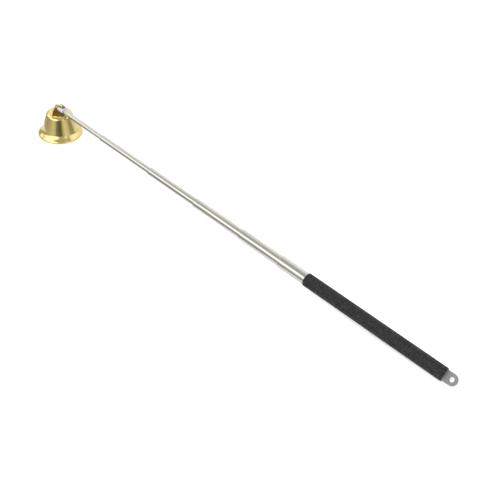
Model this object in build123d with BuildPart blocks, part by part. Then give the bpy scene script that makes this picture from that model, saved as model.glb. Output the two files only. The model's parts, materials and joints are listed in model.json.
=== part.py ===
from build123d import *
from math import asin, atan2, cos, degrees, hypot, radians, sin
import os

# Telescopic candle snuffer. A small pierced bell hangs by its strap from a folded steel link
# at the tip of a pole of five sliding tubes in a gripped base tube with a hanging tab.
# Millimetres. The origin is the centre of the bell's mouth on the table, +Z is up and the
# pole leads to +X, sloping down until the rear edge of the grip lies on the table.

os.makedirs("parts", exist_ok=True)

# Bell
rim_radius = 17.5
rim_edge_height = 1.0
rim_rounding = 1.5
skirt_top_radius = 14.2
skirt_top_height = 4.2
skirt_fillet = 6.0
shoulder_radius = 9.7
shoulder_height = 18.7
shoulder_rounding = 3.0
dome_rise = 0.4
bell_wall = 0.7
window_width = 9.4
window_depth = 12.4
window_rounding = 0.6

# Strap across the bell's top: half spans of its middle line, and heights above the shoulder
strap_turn = 42
strap_width = 2.2
strap_thickness = 0.8
strap_foot_span = 5.0
strap_foot_drop = 0.05
strap_knee_span = 3.75
strap_knee_rise = 1.4
strap_crown_span = 2.2
strap_crown_rise = 6.5
strap_knee_rounding = 1.5
strap_crown_rounding = 2.3

# Sliding tubes, thinnest first
smallest_tube_radius = 1.95
tube_radius_growth = 0.475
tube_wall = 0.25
sections_shown = [44.9, 54.2, 48.2, 46.1, 37.7]
full_section_shown = 106.7
lip_length = 1.2
lip_rounding = 0.2
spring_length = 6.0
collar_length = 4.0
stop_gap = 0.2
running_clearance = 0.03
spring_clearance = 0.04
spring_split = 0.8
tip_setback = 2.2
tip_edge_rounding = 0.12

# Tip plug, link and rivet, the link's places counted from the rivet towards the bell
rivet_rise = 3.0
rivet_reach = 7.2
pole_offset = 0.3
link_length = 9.3
link_strip = 0.5
link_height = 3.2
link_rise = 5
link_spread = 3.9
link_neck = 2.0
link_bend = 1.7
rivet_radius = 0.75
rivet_clearance = 0.05
rivet_head_radius = 1.2
rivet_head_height = 0.35
rivet_head_rounding = 0.2
plug_insertion = 8.0
plug_flat_clearance = 0.06
plug_flat_length = 2.0

# Handle
bare_length = 23.4
grip_length = 114.1
grip_wall = 0.475
grip_rounding = 0.25
end_plug_length = 9.0
tab_roll = 41
tab_width = 8.0
tab_thickness = 1.2
tab_reach = 5.9
tab_hole_radius = 1.7
tab_edge_rounding = 0.2
shank_width = 6.6
shank_length = 7.5
slot_clearance = 0.05
shank_pin_radius = 0.75
shank_pin_inset = 4.0
shank_pin_recess = 0.2

# One overrun for every cut that runs past a surface
overrun = 1.0

# Heights that follow the bell's shoulder
dome_height = shoulder_height + dome_rise
strap_foot_height = shoulder_height - strap_foot_drop
strap_knee_height = shoulder_height + strap_knee_rise
strap_crown_height = shoulder_height + strap_crown_rise
rivet_height = shoulder_height + rivet_rise

# Tube radii and stations along the pole, counted from the link's rivet
tube_radii = [smallest_tube_radius + tube_radius_growth * n for n in range(len(sections_shown) + 1)]
base_radius = tube_radii[-1]
grip_radius = base_radius + grip_wall
stations = [sum(sections_shown[:n]) for n in range(len(sections_shown) + 1)]
hidden_length = lip_length + stop_gap + spring_length + collar_length
grip_start = stations[-1] + bare_length
pole_end = grip_start + grip_length
tab_centre = pole_end + tab_reach

# Slope at which the bell stands on its rim and the grip's rear edge lies on the table
pole_slope = degrees(asin(rivet_height / hypot(pole_end, grip_radius)) - atan2(grip_radius, pole_end))
pole_direction = (cos(radians(pole_slope)), 0, -sin(radians(pole_slope)))
rivet_point = (rivet_reach, pole_offset, rivet_height)
pole_axis = Axis(rivet_point, pole_direction)
pole = Plane(origin=rivet_point, x_dir=(0, 1, 0), z_dir=pole_direction)
pole_side = Plane(origin=rivet_point, x_dir=pole_direction, z_dir=(0, -1, 0))

# Bell: a thin spun shell with two windows in its top and the strap between them
with BuildPart() as bell:
    with BuildSketch(Plane.XZ) as bell_outline:
        with BuildLine():
            Polyline(
                (0, 0),
                (rim_radius, 0),
                (rim_radius, rim_edge_height),
                (skirt_top_radius, skirt_top_height),
                (shoulder_radius, shoulder_height),
                (0, dome_height),
                close=True,
            )
        make_face()
        for height, rounding in (
            (rim_edge_height, rim_rounding),
            (skirt_top_height, skirt_fillet),
            (shoulder_height, shoulder_rounding),
        ):
            corners = [v for v in vertices() if abs(v.Y - height) < running_clearance]
            fillet(corners, rounding)
    revolve(axis=Axis.Z)
    offset(amount=-bell_wall, openings=bell.faces().sort_by(Axis.Z)[0])
    strap_top = Plane.XY.rotated((0, 0, strap_turn)).offset(skirt_top_height)
    with BuildSketch(strap_top):
        RectangleRounded(window_width, window_depth, window_rounding)
    extrude(amount=rim_radius, mode=Mode.SUBTRACT)
    strap_side = Plane.XZ.rotated((0, 0, strap_turn))
    with BuildSketch(strap_side):
        with BuildLine():
            FilletPolyline(
                (-strap_foot_span, strap_foot_height),
                (-strap_knee_span, strap_knee_height),
                (-strap_crown_span, strap_crown_height),
                (strap_crown_span, strap_crown_height),
                (strap_knee_span, strap_knee_height),
                (strap_foot_span, strap_foot_height),
                radius=[strap_knee_rounding, strap_crown_rounding, strap_crown_rounding, strap_knee_rounding],
            )
        trace(line_width=strap_thickness)
    extrude(amount=strap_width / 2, both=True)
bell.part.label = "bell"
export_step(bell.part, "parts/bell.step")

# Link: a strip bent into a loop round the strap's near leg, its two ends pressed together
plug_radius = smallest_tube_radius - tube_wall
link_direction = (-cos(radians(link_rise)), 0, sin(radians(link_rise)))
link_up = (sin(radians(link_rise)), 0, cos(radians(link_rise)))
link_plan = Plane(origin=rivet_point, x_dir=link_direction, z_dir=-Vector(link_up))
link_side = Plane(origin=rivet_point, x_dir=link_direction, z_dir=(0, 1, 0))
loop_length = link_length - link_neck
loop_middle = (link_neck + link_length) / 2
front_end = link_neck + link_bend
back_end = link_neck + link_strip
with BuildPart() as link:
    with BuildSketch(link_plan):
        with Locations((loop_middle, (link_spread - link_strip) / 2)):
            RectangleRounded(loop_length, link_spread + link_strip, link_bend)
            RectangleRounded(
                loop_length - 2 * link_strip,
                link_spread - link_strip,
                link_bend - link_strip,
                mode=Mode.SUBTRACT,
            )
        with Locations(((front_end - link_height) / 2, -link_strip / 2)):
            Rectangle(front_end + link_height, link_strip)
        with Locations(((back_end - link_height) / 2, link_strip / 2)):
            Rectangle(back_end + link_height, link_strip)
    extrude(amount=link_height / 2, both=True)
    with BuildSketch(link_side):
        Circle(link_height / 2)
        with Locations((link_length, 0)):
            Rectangle(2 * link_length, link_height)
    extrude(amount=link_spread + overrun, both=True, mode=Mode.INTERSECT)
    with BuildSketch(link_side):
        Circle(rivet_radius)
    extrude(amount=link_spread + overrun, both=True, mode=Mode.SUBTRACT)
link.part.label = "link"
export_step(link.part, "parts/link.step")

rear_head_seat = plug_radius + rivet_clearance
with BuildPart() as link_rivet:
    with BuildSketch(link_side.offset(-link_strip)):
        Circle(rivet_radius)
    extrude(amount=link_strip + rear_head_seat)
    for head_seat, head_height in ((-link_strip, -rivet_head_height), (rear_head_seat, rivet_head_height)):
        with BuildSketch(link_side.offset(head_seat)):
            Circle(rivet_head_radius)
        extrude(amount=head_height)
    head_rims = link_rivet.edges().filter_by(GeomType.CIRCLE).group_by(Axis.Y)
    fillet(head_rims[0] + head_rims[-1], rivet_head_rounding)
link_rivet.part.label = "link_rivet"
export_step(link_rivet.part, "parts/link_rivet.step")

# Tip plug: pressed in the thinnest tube, its nose cut flat where the link's ends lie on it
plug_flat = link_strip + plug_flat_clearance
with BuildPart() as tip_plug:
    with BuildSketch(pole):
        Circle(plug_radius)
    extrude(amount=tip_setback + plug_insertion)
    with Locations(rivet_point):
        Sphere(plug_radius)
    with BuildSketch(pole.offset(plug_flat_length)):
        with Locations((plug_flat - smallest_tube_radius, 0)):
            Rectangle(2 * smallest_tube_radius, 2 * smallest_tube_radius)
    extrude(amount=-plug_flat_length - smallest_tube_radius, mode=Mode.SUBTRACT)
    with BuildSketch(link_side):
        Circle(rivet_radius + rivet_clearance)
    extrude(amount=smallest_tube_radius, mode=Mode.SUBTRACT)
tip_plug.part.label = "tip_plug"
export_step(tip_plug.part, "parts/tip_plug.step")

# Sliding tubes: the thinnest has a plain front edge, the others a rolled-in one
with BuildPart() as tip_tube:
    with BuildSketch(pole.offset(tip_setback)):
        Circle(smallest_tube_radius)
        Circle(plug_radius, mode=Mode.SUBTRACT)
    extrude(amount=full_section_shown + hidden_length - tip_setback)
    front_edges = tip_tube.edges().filter_by(GeomType.CIRCLE).group_by(Axis.X)[0]
    fillet(front_edges.sort_by(SortBy.RADIUS)[-1], tip_edge_rounding)
tip_tube.part.label = "tube_1"
export_step(tip_tube.part, "parts/tube_1.step")

sleeves = [(f"tube_{n + 1}", n, full_section_shown + hidden_length) for n in range(1, len(sections_shown))]
sleeves.append(("base_tube", len(sections_shown), bare_length + grip_length))
for tube_name, n, tube_length in sleeves:
    front = stations[n]
    rear = front + tube_length
    tube_radius = tube_radii[n]
    tube_bore = tube_radius - tube_wall
    guide_bore = tube_radii[n - 1] + running_clearance
    with BuildPart() as tube:
        with BuildSketch(pole_side):
            with BuildLine():
                Polyline(
                    (front, guide_bore),
                    (front, tube_radius),
                    (rear, tube_radius),
                    (rear, tube_bore),
                    (front + lip_length, tube_bore),
                    (front + lip_length, guide_bore),
                    close=True,
                )
            make_face()
            fillet(vertices().group_by(Axis.X)[0].sort_by(Axis.Y)[-1], lip_rounding)
        revolve(axis=pole_axis)
    tube.part.label = tube_name
    export_step(tube.part, f"parts/{tube_name}.step")

# Stop collar and split spring on the rear end of each sliding tube
for n in range(len(sections_shown)):
    outer_bore = tube_radii[n + 1] - tube_wall
    collar_front = stations[n] + full_section_shown + hidden_length - collar_length
    with BuildPart() as collar:
        with BuildSketch(pole.offset(collar_front)):
            Circle(outer_bore - running_clearance)
            Circle(tube_radii[n], mode=Mode.SUBTRACT)
        extrude(amount=collar_length)
    collar.part.label = f"stop_collar_{n + 1}"
    export_step(collar.part, f"parts/stop_collar_{n + 1}.step")

    with BuildPart() as friction_spring:
        with BuildSketch(pole.offset(collar_front - spring_length)):
            Circle(outer_bore - running_clearance)
            Circle(tube_radii[n] + spring_clearance, mode=Mode.SUBTRACT)
            with Locations((0, tube_radii[n])):
                Rectangle(spring_split, 2 * tube_radius_growth, mode=Mode.SUBTRACT)
        extrude(amount=spring_length)
    friction_spring.part.label = f"friction_spring_{n + 1}"
    export_step(friction_spring.part, f"parts/friction_spring_{n + 1}.step")

# Grip: a soft sleeve shrunk on the base tube
with BuildPart() as grip_sleeve:
    with BuildSketch(pole.offset(grip_start)):
        Circle(grip_radius)
        Circle(base_radius, mode=Mode.SUBTRACT)
    extrude(amount=grip_length)
    front_edges = grip_sleeve.edges().filter_by(GeomType.CIRCLE).group_by(Axis.X)[0]
    fillet(front_edges.sort_by(SortBy.RADIUS)[-1], grip_rounding)
grip_sleeve.part.label = "grip_sleeve"
export_step(grip_sleeve.part, "parts/grip_sleeve.step")

# Hanging tab: a flat steel tongue with a round end, its shank held in the end plug
pole_up = (sin(radians(pole_slope)), 0, cos(radians(pole_slope)))
tab_normal = Vector(0, -sin(radians(tab_roll)), 0) + Vector(pole_up) * cos(radians(tab_roll))
hole_point = pole.from_local_coords(Vector(0, 0, tab_centre))
tab_plane = Plane(origin=hole_point, x_dir=pole_direction, z_dir=tab_normal)
base_bore = base_radius - tube_wall
with BuildPart() as hanging_tab:
    with BuildSketch(tab_plane):
        Circle(tab_width / 2)
        with Locations((-tab_reach / 2, 0)):
            Rectangle(tab_reach, tab_width)
        with Locations((-tab_reach - shank_length / 2, 0)):
            Rectangle(shank_length, shank_width)
        Circle(tab_hole_radius, mode=Mode.SUBTRACT)
    extrude(amount=tab_thickness / 2, both=True)
    round_end = hanging_tab.edges().filter_by(GeomType.CIRCLE).group_by(SortBy.RADIUS)[-1]
    fillet(round_end, tab_edge_rounding)
    with BuildSketch(tab_plane):
        with Locations((-tab_reach - shank_pin_inset, 0)):
            Circle(shank_pin_radius)
    extrude(amount=base_bore, both=True, mode=Mode.SUBTRACT)
hanging_tab.part.label = "hanging_tab"
export_step(hanging_tab.part, "parts/hanging_tab.step")

with BuildPart() as end_plug:
    with BuildSketch(pole.offset(pole_end - end_plug_length)):
        Circle(base_bore)
    extrude(amount=end_plug_length)
    with BuildSketch(tab_plane):
        with Locations((-tab_reach, 0)):
            Rectangle(2 * (shank_length + slot_clearance), shank_width + 2 * slot_clearance)
    extrude(amount=tab_thickness / 2 + slot_clearance, both=True, mode=Mode.SUBTRACT)
    with BuildSketch(tab_plane):
        with Locations((-tab_reach - shank_pin_inset, 0)):
            Circle(shank_pin_radius)
    extrude(amount=base_radius, both=True, mode=Mode.SUBTRACT)
end_plug.part.label = "end_plug"
export_step(end_plug.part, "parts/end_plug.step")

with BuildPart() as tab_pin:
    with BuildSketch(tab_plane):
        with Locations((-tab_reach - shank_pin_inset, 0)):
            Circle(shank_pin_radius)
    extrude(amount=base_bore - shank_pin_recess, both=True)
tab_pin.part.label = "tab_pin"
export_step(tab_pin.part, "parts/tab_pin.step")
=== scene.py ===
import json
from math import radians
import bmesh
import bpy
from mathutils import Matrix, Vector


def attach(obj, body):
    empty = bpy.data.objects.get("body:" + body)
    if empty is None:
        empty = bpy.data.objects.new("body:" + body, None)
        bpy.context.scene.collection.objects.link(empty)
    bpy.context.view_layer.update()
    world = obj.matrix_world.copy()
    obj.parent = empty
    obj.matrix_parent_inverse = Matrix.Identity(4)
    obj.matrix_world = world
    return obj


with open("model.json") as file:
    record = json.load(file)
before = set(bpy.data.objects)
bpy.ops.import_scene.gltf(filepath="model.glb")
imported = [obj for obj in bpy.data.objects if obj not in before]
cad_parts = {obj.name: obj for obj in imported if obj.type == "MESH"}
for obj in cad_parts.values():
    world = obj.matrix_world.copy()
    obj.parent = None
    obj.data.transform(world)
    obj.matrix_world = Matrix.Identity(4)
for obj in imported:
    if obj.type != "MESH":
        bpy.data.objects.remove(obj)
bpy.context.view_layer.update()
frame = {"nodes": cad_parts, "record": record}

nodes = frame["nodes"]


# Node graph helpers
def graph(owner):
    """Empties an owner's node tree and returns it."""
    owner.use_nodes = True
    owner.node_tree.nodes.clear()
    return owner.node_tree


def add(tree, kind, inputs=None, **settings):
    """Adds a node, sets its properties, and fills or links its inputs."""
    node = tree.nodes.new(kind)
    for name, value in settings.items():
        setattr(node, name, value)
    for key, value in (inputs or {}).items():
        if isinstance(value, bpy.types.NodeSocket):
            tree.links.new(value, node.inputs[key])
        else:
            node.inputs[key].default_value = value
    return node


def calc(tree, operation, *values):
    """A math node's result."""
    return add(tree, "ShaderNodeMath", dict(enumerate(values)), operation=operation).outputs[0]


def spread(tree, value, low, high, to_low, to_high):
    """Value carried from one range to another, held at the ends."""
    inputs = {"Value": value, "From Min": low, "From Max": high,
              "To Min": to_low, "To Max": to_high}
    return add(tree, "ShaderNodeMapRange", inputs).outputs["Result"]


def ramp(tree, value, stops, smooth="LINEAR"):
    """A colour ramp through (place, colour) stops."""
    node = add(tree, "ShaderNodeValToRGB", {"Fac": value})
    node.color_ramp.interpolation = smooth
    elements = node.color_ramp.elements
    while len(elements) < len(stops):
        elements.new(0.5)
    for element, (place, colour) in zip(elements, stops):
        element.position = place
        element.color = (*colour, 1)
    return node.outputs["Color"]


def mixed(tree, factor, under, over):
    """Colour between two colours."""
    inputs = {0: factor, 6: under, 7: over}
    return add(tree, "ShaderNodeMix", inputs, data_type="RGBA").outputs[2]


def noise(tree, where, scale, detail=3.0, roughness=0.5):
    """Fine noise at a place in object space."""
    inputs = {"Vector": where, "Scale": scale, "Detail": detail, "Roughness": roughness}
    return add(tree, "ShaderNodeTexNoise", inputs).outputs["Fac"]


def on_object(tree):
    """Object coordinates."""
    return add(tree, "ShaderNodeTexCoord").outputs["Object"]


def along_pole(tree, stretch):
    """Object coordinates turned to the pole and squeezed along it, for drawn or brushed grain."""
    turn = Vector((1, 0, 0)).rotation_difference(pole_run).to_euler()
    facing = {"Vector": on_object(tree), "Rotation": turn}
    turned = add(tree, "ShaderNodeMapping", facing, vector_type="TEXTURE").outputs["Vector"]
    return add(tree, "ShaderNodeMapping", {"Vector": turned, "Scale": stretch}).outputs["Vector"]


def bump(tree, height, strength, distance):
    """A bump from a height."""
    inputs = {"Height": height, "Strength": strength, "Distance": distance}
    return add(tree, "ShaderNodeBump", inputs).outputs["Normal"]


def finish_material(name, inputs):
    """A material with one principled shader; inputs is a function of the tree."""
    material = bpy.data.materials.new(name)
    tree = graph(material)
    shader = add(tree, "ShaderNodeBsdfPrincipled", inputs(tree))
    add(tree, "ShaderNodeOutputMaterial", {"Surface": shader.outputs["BSDF"]})
    return material


# Places along the pole, in metres from the link's rivet
rivet_point = Vector((0.0072, 0.0003, 0.0217))
pole_run = Vector((0.998948, 0, -0.045863))
pole_end = 0.3686
# Body: its tube, the distance of the tube's front edge, the tube's radius
tube_fronts = {
    "section_2": ("tube_2", 0.0449, 0.002425),
    "section_3": ("tube_3", 0.0991, 0.0029),
    "section_4": ("tube_4", 0.1473, 0.003375),
    "section_5": ("tube_5", 0.1934, 0.00385),
    "handle": ("base_tube", 0.2311, 0.004325),
}

# Height on the bell at which its dull inside, coloured with painted bounce light, starts, and at
# which it is full
inside_starts, inside_full = 0.0187, 0.0184


def on_pole(distance):
    """A place on the pole's middle line."""
    return rivet_point + pole_run * distance


# Finishes
def bell_inside(tree, coordinates):
    """1 on the bell's inner faces, turned towards its axis or down, and 0 outside."""
    place = add(tree, "ShaderNodeSeparateXYZ", {"Vector": coordinates["Object"]}).outputs
    facing = add(tree, "ShaderNodeSeparateXYZ", {"Vector": coordinates["Normal"]}).outputs

    def flat_product(one, other):
        return calc(tree, "ADD", calc(tree, "MULTIPLY", one["X"], other["X"]),
                    calc(tree, "MULTIPLY", one["Y"], other["Y"]))

    radius = calc(tree, "SQRT", flat_product(place, place))
    outward = calc(tree, "DIVIDE", flat_product(place, facing), radius)
    # A face is an inner one when it leans towards the axis, or well downward
    turned_in = spread(tree, outward, 0.1, -0.1, 0, 1)
    turned_down = spread(tree, facing["Z"], -0.3, -0.5, 0, 1)
    low = spread(tree, place["Z"], inside_starts, inside_full, 0, 1)
    return calc(tree, "MULTIPLY", low, calc(tree, "MAXIMUM", turned_in, turned_down))


def polished_brass(tree):
    """Polished outside, and a dull inside; the inside's deep orange to pale yellow mottle is
    painted bounce light and painted speckled reflections.
    """
    coordinates = add(tree, "ShaderNodeTexCoord").outputs
    where = coordinates["Object"]
    cloud = noise(tree, where, 160, 4)
    fine = noise(tree, where, 2600, 2)
    mottle = noise(tree, where, 420, 5, 0.6)
    polished = ramp(tree, cloud, [(0.3, (0.82, 0.65, 0.26)), (0.7, (0.87, 0.71, 0.31))])
    # The inside's colour is painted light: brighter and more orange than the brass for light
    # bounced round inside the bell, and mottled with painted speckled reflections.
    dull_with_painted_light = ramp(tree, mottle, [(0.3, (0.77, 0.47, 0.08)), (0.48, (0.94, 0.68, 0.15)),
                               (0.68, (1.0, 0.84, 0.26))])
    inside = bell_inside(tree, coordinates)
    shine = spread(tree, cloud, 0.3, 0.7, 0.12, 0.18)
    return {"Base Color": mixed(tree, inside, polished, dull_with_painted_light),
            "Metallic": spread(tree, inside, 0, 1, 1.0, 0.55),
            "Roughness": spread(tree, inside, 0, 1, shine, 0.42),
            "Normal": bump(tree, fine, 0.05, 0.00002)}


def drawn_nickel(tree):
    """Bright tube, drawn along its length."""
    grain = noise(tree, along_pole(tree, (60, 5200, 5200)), 1, 3)
    cloud = noise(tree, along_pole(tree, (40, 300, 300)), 1, 3)
    colour = ramp(tree, cloud, [(0.3, (0.64, 0.635, 0.60)), (0.7, (0.71, 0.705, 0.67))])
    return {"Base Color": colour, "Metallic": 1.0,
            "Roughness": spread(tree, grain, 0.3, 0.7, 0.10, 0.17),
            "Normal": bump(tree, grain, 0.04, 0.00001)}


def bright_steel(tree):
    """Bluish strip of the link and its rivet."""
    grain = noise(tree, along_pole(tree, (200, 6000, 6000)), 1, 3)
    colour = ramp(tree, grain, [(0.3, (0.66, 0.69, 0.77)), (0.7, (0.78, 0.81, 0.89))])
    return {"Base Color": colour, "Metallic": 0.65,
            "Roughness": spread(tree, grain, 0.3, 0.7, 0.30, 0.42)}


def grained_grip(tree):
    """Satin black sleeve with a fine mottled grain."""
    where = on_object(tree)
    pebbles = add(tree, "ShaderNodeTexVoronoi", {"Vector": where, "Scale": 1300})
    cloud = noise(tree, where, 300, 4)
    mottle = noise(tree, where, 1000, 4, 0.65)
    colour = ramp(tree, mottle, [(0.35, (0.006, 0.006, 0.006)), (0.52, (0.018, 0.017, 0.018)),
                                 (0.72, (0.062, 0.060, 0.061))])
    grain = calc(tree, "ADD", pebbles.outputs["Distance"], cloud)
    return {"Base Color": colour, "Roughness": spread(tree, cloud, 0.3, 0.7, 0.5, 0.65),
            "Specular IOR Level": 0.3, "Normal": bump(tree, grain, 0.5, 0.00015)}


def moulded_cap(tree):
    """Plain black plug in the handle's end."""
    where = on_object(tree)
    cloud = noise(tree, where, 700, 4)
    colour = ramp(tree, cloud, [(0.3, (0.008, 0.008, 0.008)), (0.7, (0.020, 0.020, 0.021))])
    return {"Base Color": colour, "Roughness": spread(tree, cloud, 0.3, 0.7, 0.4, 0.55),
            "Normal": bump(tree, noise(tree, where, 3000, 2), 0.3, 0.00003)}


def satin_steel(tree):
    """Grey tab, lightly brushed."""
    grain = noise(tree, along_pole(tree, (120, 5200, 5200)), 1, 3)
    colour = ramp(tree, grain, [(0.3, (0.255, 0.255, 0.26)), (0.7, (0.32, 0.32, 0.32))])
    return {"Base Color": colour, "Metallic": 1.0,
            "Roughness": spread(tree, grain, 0.3, 0.7, 0.42, 0.55),
            "Normal": bump(tree, grain, 0.08, 0.00001)}


def plain_metal(scale, dark, light, smooth, rough):
    """A finish function for the plain metals inside the pole."""
    def finish(tree):
        cloud = noise(tree, on_object(tree), scale, 3)
        return {"Base Color": ramp(tree, cloud, [(0.3, dark), (0.7, light)]), "Metallic": 1.0,
                "Roughness": spread(tree, cloud, 0.3, 0.7, smooth, rough)}
    return finish


spring_brass = plain_metal(900, (0.50, 0.32, 0.13), (0.62, 0.42, 0.18), 0.3, 0.42)
turned_steel = plain_metal(1200, (0.26, 0.26, 0.26), (0.36, 0.36, 0.35), 0.35, 0.5)

finishes = {
    "bell": finish_material("polished_brass", polished_brass),
    "pole": finish_material("drawn_nickel", drawn_nickel),
    "link_steel": finish_material("bright_steel", bright_steel),
    "grip": finish_material("grained_grip", grained_grip),
    "cap": finish_material("moulded_cap", moulded_cap),
    "tab": finish_material("satin_steel", satin_steel),
    "spring": finish_material("spring_brass", spring_brass),
    "plug": finish_material("turned_steel", turned_steel),
}
for subpart in frame["record"]["subparts"]:
    for slot in nodes[subpart["node"]].material_slots:
        slot.material = finishes[subpart["material_slot"]]


# Small repeated pieces, made by Geometry Nodes
def shape_tree(name, sizes, build):
    """A tree that stands a shape at each place, turned along an axis.

    build makes the shape from the tree's inputs, sizes among them.
    """
    tree = bpy.data.node_groups.new(name, "GeometryNodeTree")
    kinds = {"Places": "NodeSocketGeometry", "Axis": "NodeSocketVector",
             "Finish": "NodeSocketMaterial"}
    kinds.update({size: "NodeSocketFloat" for size in sizes})
    for socket, kind in kinds.items():
        tree.interface.new_socket(socket, in_out="INPUT", socket_type=kind)
    tree.interface.new_socket("Pieces", in_out="OUTPUT", socket_type="NodeSocketGeometry")
    given = add(tree, "NodeGroupInput").outputs
    turn = add(tree, "FunctionNodeAlignRotationToVector", {"Vector": given["Axis"]}, axis="Z")
    placed = {"Points": given["Places"], "Instance": build(tree, given),
              "Rotation": turn.outputs["Rotation"]}
    instances = add(tree, "GeometryNodeInstanceOnPoints", placed).outputs["Instances"]
    real = add(tree, "GeometryNodeRealizeInstances", {"Geometry": instances})
    smooth = add(tree, "GeometryNodeSetShadeSmooth", {"Geometry": real.outputs["Geometry"]})
    finished = add(tree, "GeometryNodeSetMaterial",
                   {"Geometry": smooth.outputs["Geometry"], "Material": given["Finish"]})
    add(tree, "NodeGroupOutput", {"Pieces": finished.outputs["Geometry"]})
    return tree


def bead_ring(tree, given):
    """A round bead bent to a ring."""
    path = add(tree, "GeometryNodeCurvePrimitiveCircle",
               {"Resolution": 96, "Radius": given["Ring Radius"]})
    section = add(tree, "GeometryNodeCurvePrimitiveCircle",
                  {"Resolution": 20, "Radius": given["Bead Radius"]})
    swept = {"Curve": path.outputs["Curve"], "Profile Curve": section.outputs["Curve"]}
    return add(tree, "GeometryNodeCurveToMesh", swept).outputs["Mesh"]


def domed_head(tree, given):
    """A ball pressed flat to its dome share."""
    ball = add(tree, "GeometryNodeMeshUVSphere",
               {"Segments": 48, "Rings": 24, "Radius": given["Head Radius"]})
    squeeze = add(tree, "ShaderNodeCombineXYZ", {"X": 1.0, "Y": 1.0, "Z": given["Dome Share"]})
    pressed = {"Geometry": ball.outputs["Mesh"], "Scale": squeeze.outputs["Vector"]}
    return add(tree, "GeometryNodeTransform", pressed).outputs["Geometry"]


def stand_pieces(name, body, slot, tree, places, axis, **sizes):
    """Stands a tree's shape at the places, as one plain mesh that rides on a body."""
    dots = bpy.data.meshes.new(name + "_places")
    dots.from_pydata([tuple(place) for place in places], [], [])
    holder = bpy.data.objects.new(name + "_places", dots)
    bpy.context.scene.collection.objects.link(holder)
    modifier = holder.modifiers.new("pieces", "NODES")
    modifier.node_group = tree
    values = {"Axis": tuple(axis), "Finish": finishes[slot]}
    values.update({key.replace("_", " ").title(): value for key, value in sizes.items()})
    for socket in tree.interface.items_tree:
        if socket.in_out == "INPUT" and socket.name in values:
            modifier[socket.identifier] = values[socket.name]
    evaluated = holder.evaluated_get(bpy.context.evaluated_depsgraph_get())
    mesh = bpy.data.meshes.new_from_object(evaluated)
    bpy.data.objects.remove(holder)
    add_piece(name, body, slot, mesh)


def add_piece(name, body, slot, mesh):
    """Names a mesh, gives it one finish, and hangs it on a body."""
    mesh.name = name
    mesh.polygons.foreach_set("material_index", [0] * len(mesh.polygons))
    mesh.materials.clear()
    mesh.materials.append(finishes[slot])
    piece = bpy.data.objects.new(name, mesh)
    bpy.context.scene.collection.objects.link(piece)
    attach(piece, body)


# Rolled-in edges: a bead's place behind a tube's front edge, and how far its ring lies inside
bead_behind_edge = 0.00026
bead_inside_tube = 0.00011
bead_radius = 0.00024
hem_before_end = 0.00022
hem_ring_radius = 0.00444
hem_radius = 0.00036
# Rivet: its two ends across the link, and the domes on them
rivet_ends = [Vector((rivet_point.x, y, rivet_point.z)) for y in (-0.00045, 0.0023)]
dome_radius = 0.00105
dome_share = 0.3

rolled_bead = shape_tree("rolled_bead", ["Ring Radius", "Bead Radius"], bead_ring)
for body, (tube, front, radius) in tube_fronts.items():
    stand_pieces(tube + "_lip_bead", body, "pole", rolled_bead,
                 [on_pole(front + bead_behind_edge)], pole_run,
                 ring_radius=radius - bead_inside_tube, bead_radius=bead_radius)
stand_pieces("grip_hem", "handle", "grip", rolled_bead, [on_pole(pole_end - hem_before_end)],
             pole_run, ring_radius=hem_ring_radius, bead_radius=hem_radius)
domed_rivet = shape_tree("domed_rivet", ["Head Radius", "Dome Share"], domed_head)
stand_pieces("rivet_domes", "link", "link_steel", domed_rivet, rivet_ends, (0, 1, 0),
             head_radius=dome_radius, dome_share=dome_share)


# Crowned cheek of the link, on the outer face of its front strip
def link_cheek():
    """A closed cheek swept along the strip, swelling from its face and closing at both ends."""
    toward_bell = Vector((-0.996195, 0, 0.087156))
    link_up = Vector((0.087156, 0, 0.996195))
    outward = Vector((0, -1, 0))
    millimetre = 0.001
    # Millimetres out from the rivet, and up, round the fullest section
    strip_face = 0.42
    section = [(strip_face, 1.52), (0.62, 1.56), (0.84, 1.42), (1.12, 1.05), (1.40, 0.66),
               (1.66, 0.28), (1.86, -0.06), (1.97, -0.42), (1.93, -0.80), (1.72, -1.14),
               (1.38, -1.38), (0.94, -1.52), (0.60, -1.56), (strip_face, -1.50)]
    # Millimetres from the rivet along the strip, and how full the section is there
    stations = [(1.45, 0.0), (1.55, 0.45), (1.75, 0.75), (2.05, 0.93), (2.5, 1.0), (5.0, 1.0),
                (7.6, 1.0), (8.1, 0.94), (8.45, 0.78), (8.65, 0.5), (8.75, 0.0)]
    # How high the section still is where its fullness is 0
    closed_height = 0.8
    grid = bmesh.new()
    rings = []
    for along_strip, fullness in stations:
        height_share = closed_height + (1 - closed_height) * fullness
        ring = []
        for out, height in section:
            raised = strip_face + (out - strip_face) * fullness
            place = (toward_bell * along_strip + link_up * height * height_share
                     + outward * raised)
            ring.append(grid.verts.new(rivet_point + place * millimetre))
        rings.append(ring)
    for ring, following in zip(rings, rings[1:]):
        for n in range(len(section)):
            after = (n + 1) % len(section)
            grid.faces.new((ring[n], ring[after], following[after], following[n]))
    grid.faces.new(rings[0])
    grid.faces.new(rings[-1])
    bmesh.ops.recalc_face_normals(grid, faces=grid.faces)
    for face in grid.faces:
        face.smooth = True
    mesh = bpy.data.meshes.new("link_cheek")
    grid.to_mesh(mesh)
    grid.free()
    return mesh


add_piece("link_cheek", "link", "link_steel", link_cheek())


# Studio
paper_white = 0.92
floor_half, floor_height = 4.0, -0.0001
# How far from the object its reflections still show the floor
floor_mirrored = 0.03
# Paleness added for the camera near the object and far off, and where it grows
near_pale, far_pale = 0.35, 0.56
pale_from, pale_to = 0.6, 1.6


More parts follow.
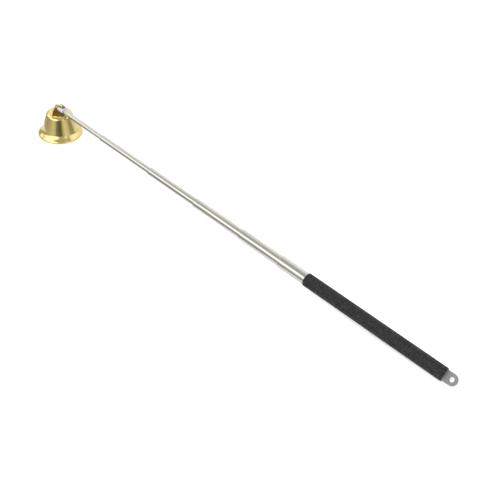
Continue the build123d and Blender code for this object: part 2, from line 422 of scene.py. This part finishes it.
def studio_floor(tree):
    """White paper that keeps shadows.

    Reflections show it only close to the object, and past that the light tent.
    """
    ray = add(tree, "ShaderNodeLightPath").outputs
    away = add(tree, "ShaderNodeVectorMath", {0: on_object(tree)}, operation="LENGTH")
    pale = spread(tree, away.outputs["Value"], pale_from, pale_to, near_pale, far_pale)
    colour = (paper_white, paper_white, paper_white, 1)
    paper = add(tree, "ShaderNodeBsdfDiffuse", {"Color": colour}).outputs[0]
    lift = add(tree, "ShaderNodeEmission",
               {"Strength": calc(tree, "MULTIPLY", ray["Is Camera Ray"], pale)})
    lit = add(tree, "ShaderNodeAddShader", {0: paper, 1: lift.outputs[0]}).outputs[0]
    far = calc(tree, "GREATER_THAN", ray["Ray Length"], floor_mirrored)
    clear = add(tree, "ShaderNodeBsdfTransparent").outputs[0]
    passed = calc(tree, "MULTIPLY", far, ray["Is Glossy Ray"])
    return add(tree, "ShaderNodeMixShader", {0: passed, 1: lit, 2: clear}).outputs[0]


def studio_floor_piece():
    """The sheet of paper that the object stands on."""
    mesh = bpy.data.meshes.new("floor")
    corners = [(x * floor_half, y * floor_half, floor_height)
               for x, y in ((-1, -1), (1, -1), (1, 1), (-1, 1))]
    mesh.from_pydata(corners, [], [(0, 1, 2, 3)])
    floor = bpy.data.objects.new("floor", mesh)
    bpy.context.scene.collection.objects.link(floor)
    material = bpy.data.materials.new("white_paper")
    tree = graph(material)
    add(tree, "ShaderNodeOutputMaterial", {"Surface": studio_floor(tree)})
    mesh.materials.append(material)


studio_floor_piece()

# Light tent round the object, seen in its reflections. Each ring goes round at one height, as
# (degrees right of the camera, brightness) stops
under_ring = [(-180, 0.6), (-104, 0.44), (-90, 0.12), (-62, 0.12), (-50, 0.6), (-23, 0.24),
              (4, 0.14), (32, 0.75), (64, 0.4), (107, 0.85), (180, 0.6)]
low_ring = [(-180, 0.6), (-126, 0.42), (-102, 0.44), (-83, 0.5), (-66, 0.58), (-51, 0.72),
            (-39, 0.62), (-23, 0.22), (-8, 0.13), (5, 0.13), (18, 0.56), (32, 0.78),
            (47, 0.72), (64, 0.38), (83, 0.32), (107, 0.85), (155, 1.0), (180, 0.6)]
high_ring = [(-180, 1.1), (-150, 1.1), (-132, 2.6), (-121, 2.6), (-113, 0.85), (-106, 0.95),
             (-98, 1.65), (-74, 1.6), (-64, 2.6), (-30, 2.4), (-10, 0.5), (14, 0.5),
             (30, 1.1), (48, 0.8), (75, 1.3), (120, 1.1), (180, 1.1)]
top_ring = [(-180, 0.64), (-150, 0.56), (-120, 0.46), (-60, 0.44), (60, 0.5), (130, 0.6),
            (180, 0.64)]
# The rings upward, each with the elevations in degrees between which it takes over
tent_rings = [(under_ring, -50, -28), (low_ring, -17, -10), (high_ring, 11, 25),
              (top_ring, 46, 55)]
tent_floor = (0.88, 0.88, 0.87, 1)
# Degrees round from +X
camera_azimuth = -36
room_light = 0.5


def warm_grey(level):
    """A tent brightness as a slightly warm colour."""
    return (level, 0.985 * level, 0.95 * level)


def studio_world():
    """White to the camera, an even light on the object, and a light tent in its reflections."""
    world = bpy.data.worlds.new("studio")
    bpy.context.scene.world = world
    tree = graph(world)
    ray = add(tree, "ShaderNodeLightPath").outputs
    way = add(tree, "ShaderNodeTexCoord").outputs["Generated"]
    parts = add(tree, "ShaderNodeSeparateXYZ", {"Vector": way}).outputs
    rise = calc(tree, "ARCSINE", parts["Z"])
    turn = calc(tree, "ARCTAN2", parts["Y"], parts["X"])
    from_camera = calc(tree, "WRAP", calc(tree, "SUBTRACT", turn, radians(camera_azimuth)),
                       radians(180), radians(-180))
    side = spread(tree, from_camera, radians(-180), radians(180), 0, 1)
    tent = tent_floor
    for ring, start, end in tent_rings:
        stops = [((degrees + 180) / 360, warm_grey(level)) for degrees, level in ring]
        taken_over = spread(tree, rise, radians(start), radians(end), 0, 1)
        tent = mixed(tree, taken_over, tent, ramp(tree, side, stops, "EASE"))

    def light(colour, strength):
        return add(tree, "ShaderNodeBackground", {"Color": colour, "Strength": strength}).outputs[0]

    white = (1, 1, 1, 1)
    seen = calc(tree, "MAXIMUM", ray["Is Camera Ray"], ray["Is Transmission Ray"])
    lit = add(tree, "ShaderNodeMixShader",
              {0: ray["Is Glossy Ray"], 1: light(white, room_light), 2: light(tent, 1.0)})
    shown = add(tree, "ShaderNodeMixShader",
                {0: seen, 1: lit.outputs[0], 2: light(white, 1.0)})
    add(tree, "ShaderNodeOutputWorld", {"Surface": shown.outputs[0]})


studio_world()


def area_lamp(name, place, target, size, power):
    """A round soft lamp, not seen in reflections."""
    lamp = bpy.data.lights.new(name, "AREA")
    lamp.shape, lamp.size, lamp.energy = "DISK", size, power
    lamp_object = bpy.data.objects.new(name, lamp)
    bpy.context.scene.collection.objects.link(lamp_object)
    aim = (Vector(target) - Vector(place)).to_track_quat("-Z", "Y")
    lamp_object.matrix_world = Matrix.Translation(place) @ aim.to_matrix().to_4x4()
    lamp_object.visible_glossy = False


bell_middle = (0.0, 0.0, 0.01)
pole_middle = (0.18, 0.0, 0.01)
area_lamp("key", (0.45, -0.42, 0.62), bell_middle, size=0.3, power=3.7)
area_lamp("fill", (0.3, 0.7, 1.1), pole_middle, size=0.9, power=4.8)

# Camera at the photograph's viewing angle
camera_place = Vector((0.59831, -0.43745, 0.49175))
camera_right = Vector((0.71768, 0.69538, 0.03725))
camera_down = Vector((0.46169, -0.43509, -0.77301))
camera_ahead = Vector((-0.52132, 0.57197, -0.63330))
camera_lens = bpy.data.cameras.new("camera")
camera_lens.sensor_width = 36.0
camera_lens.lens = 81.89
camera_lens.clip_start = 0.01
camera = bpy.data.objects.new("camera", camera_lens)
bpy.context.scene.collection.objects.link(camera)
camera_turn = Matrix((camera_right, -camera_down, -camera_ahead)).transposed()
camera.matrix_world = Matrix.Translation(camera_place) @ camera_turn.to_4x4()
bpy.context.scene.camera = camera

bpy.context.scene.view_settings.view_transform = "Standard"
